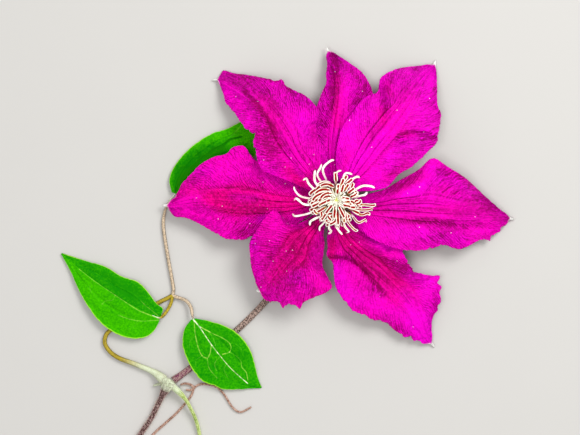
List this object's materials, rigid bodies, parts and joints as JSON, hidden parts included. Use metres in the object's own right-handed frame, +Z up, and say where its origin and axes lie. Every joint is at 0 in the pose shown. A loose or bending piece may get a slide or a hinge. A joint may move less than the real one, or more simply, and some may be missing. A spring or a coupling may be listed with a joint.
{
  "type": "clematis flower",
  "caption": "Open clematis flower with wide pointed tepals and a pale tuft of stamens, lying face up on its cut stem with a divided leaf and a tendril.",
  "frame": {"origin": "middle of the underside of the box round the whole sprig, on the surface that it lies on", "axes": "+Z up, out of the face of the flower; +Y towards the top tepal; +X towards the right tepal, away from the leaf"},
  "size_m": [0.1816, 0.1734, 0.0239],
  "materials": {
    "tepal": "soft, finely puckered petal",
    "stamen": "cream anthers with a deep red middle line",
    "pistil": "pale silky styles",
    "flower_stalk": "brown stalk, slightly hairy",
    "main_stem": "brown stem with pale hairs",
    "leaf_stalk": "yellow-green stalk",
    "leaflet": "smooth green leaf with pale veins",
    "tendril": "thin brown tendril"
  },
  "bodies": {
    "root": {"tepal_upper_left": "tepal", "tepal_top": "tepal", "tepal_upper_right": "tepal", "tepal_right": "tepal", "tepal_lower_right": "tepal", "tepal_lower_left": "tepal", "tepal_left": "tepal", "stamens": "stamen", "pistils": "pistil", "flower_stalk": "flower_stalk", "main_stem": "main_stem", "leaf_stalk": "leaf_stalk", "opposite_leaf_stalk": "leaf_stalk", "leaflet_left": "leaflet", "leaflet_right": "leaflet", "leaflet_back": "leaflet", "tendril": "tendril"}
  },
  "joints": []
}
